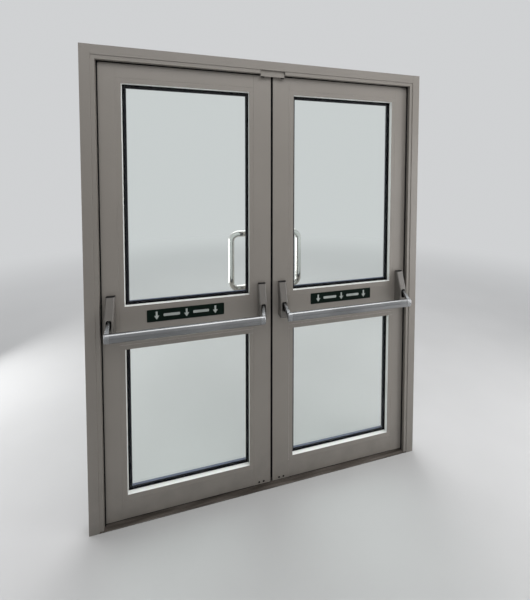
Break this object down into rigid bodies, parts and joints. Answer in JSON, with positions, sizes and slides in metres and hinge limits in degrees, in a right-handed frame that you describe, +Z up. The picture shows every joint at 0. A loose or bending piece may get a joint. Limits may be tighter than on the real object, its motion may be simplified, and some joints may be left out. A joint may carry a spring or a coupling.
{
  "type": "glazed double door",
  "caption": "Glazed metal double door in its frame, opening outwards, with push bars inside, pull handles outside and concealed top and bottom bolts.",
  "frame": {"origin": "middle of the threshold's underside, on the floor, at the middle of the frame's depth", "axes": "+X to the right seen from indoors, +Y outdoors, +Z up"},
  "size_m": [1.71, 0.2785, 2.195],
  "materials": {
    "frame_paint": "satin",
    "leaf_paint": "satin",
    "casing_paint": "satin",
    "satin_metal": "satin",
    "bright_steel": "brushed",
    "hinge_metal": "satin",
    "worn_metal": "worn",
    "clear_glass": "clear",
    "black_rubber": "matte",
    "spacer_metal": "satin",
    "guide_plastic": "matte"
  },
  "bodies": {
    "frame": {"right_jamb": "frame_paint", "left_jamb": "frame_paint", "head": "frame_paint", "threshold": "worn_metal", "right_jamb_stop": "frame_paint", "left_jamb_stop": "frame_paint", "head_stops": "frame_paint", "frame_gaskets": "black_rubber", "head_strike": "bright_steel", "hinge_pins": "bright_steel", "right_frame_hinge_flaps": "hinge_metal", "left_frame_hinge_flaps": "hinge_metal"},
    "right_leaf": {"right_meeting_stile": "leaf_paint", "right_hinge_stile": "leaf_paint", "right_top_rail": "leaf_paint", "right_mid_rail": "leaf_paint", "right_bottom_rail": "leaf_paint", "right_upper_panes": "clear_glass", "right_lower_panes": "clear_glass", "right_pane_spacers": "spacer_metal", "right_upper_beads": "leaf_paint", "right_lower_beads": "leaf_paint", "right_glazing_gaskets": "black_rubber", "right_edge_seals": "black_rubber", "right_leaf_hinge_flaps": "hinge_metal", "right_meeting_casing": "casing_paint", "right_hinge_casing": "casing_paint", "right_arm_pins": "bright_steel", "right_bolt_guides": "guide_plastic", "right_pull_handle": "bright_steel", "right_handle_studs": "bright_steel"},
    "right_bar": {"right_push_bar": "satin_metal", "right_meeting_arm": "satin_metal", "right_hinge_arm": "satin_metal"},
    "right_top_bolt": {"right_top_bolt": "bright_steel"},
    "right_bottom_bolt": {"right_bottom_bolt": "bright_steel"},
    "left_leaf": {"left_meeting_stile": "leaf_paint", "left_hinge_stile": "leaf_paint", "left_top_rail": "leaf_paint", "left_mid_rail": "leaf_paint", "left_bottom_rail": "leaf_paint", "left_upper_panes": "clear_glass", "left_lower_panes": "clear_glass", "left_pane_spacers": "spacer_metal", "left_upper_beads": "leaf_paint", "left_lower_beads": "leaf_paint", "left_glazing_gaskets": "black_rubber", "left_edge_seals": "black_rubber", "left_leaf_hinge_flaps": "hinge_metal", "left_meeting_casing": "casing_paint", "left_hinge_casing": "casing_paint", "left_arm_pins": "bright_steel", "left_bolt_guides": "guide_plastic", "left_pull_handle": "bright_steel", "left_handle_studs": "bright_steel"},
    "left_bar": {"left_push_bar": "satin_metal", "left_meeting_arm": "satin_metal", "left_hinge_arm": "satin_metal"},
    "left_top_bolt": {"left_top_bolt": "bright_steel"},
    "left_bottom_bolt": {"left_bottom_bolt": "bright_steel"}
  },
  "joints": [
    {"name": "right_leaf_swing", "type": "hinge", "parent": "frame", "child": "right_leaf", "pos_m": [0.81, 0.049, 0], "axis": [0, 0, -1], "range_deg": [0, 90]},
    {"name": "right_bar_push", "type": "hinge", "parent": "right_leaf", "child": "right_bar", "pos_m": [0.4, -0.034, 0.977], "axis": [1, 0, 0], "range_deg": [0, 22], "stiffness_Nm_per_rad": 4, "springref_deg": -34.38},
    {"name": "right_top_bolt_slide", "type": "slide", "parent": "right_leaf", "child": "right_top_bolt", "axis": [0, 0, -1], "range_m": [0, 0.0152]},
    {"name": "right_bottom_bolt_slide", "type": "slide", "parent": "right_leaf", "child": "right_bottom_bolt", "axis": [0, 0, 1], "range_m": [0, 0.0152]},
    {"name": "left_leaf_swing", "type": "hinge", "parent": "frame", "child": "left_leaf", "pos_m": [-0.81, 0.049, 0], "axis": [0, 0, 1], "range_deg": [0, 90]},
    {"name": "left_bar_push", "type": "hinge", "parent": "left_leaf", "child": "left_bar", "pos_m": [-0.4, -0.034, 0.977], "axis": [1, 0, 0], "range_deg": [0, 22], "stiffness_Nm_per_rad": 4, "springref_deg": -34.38},
    {"name": "left_top_bolt_slide", "type": "slide", "parent": "left_leaf", "child": "left_top_bolt", "axis": [0, 0, -1], "range_m": [0, 0.0152]},
    {"name": "left_bottom_bolt_slide", "type": "slide", "parent": "left_leaf", "child": "left_bottom_bolt", "axis": [0, 0, 1], "range_m": [0, 0.0152]}
  ],
  "couplings": [
    {"joint": "right_top_bolt_slide", "follows": "right_bar_push", "m_per_rad": 0.039},
    {"joint": "right_bottom_bolt_slide", "follows": "right_bar_push", "m_per_rad": 0.039},
    {"joint": "left_top_bolt_slide", "follows": "left_bar_push", "m_per_rad": 0.039},
    {"joint": "left_bottom_bolt_slide", "follows": "left_bar_push", "m_per_rad": 0.039}
  ]
}
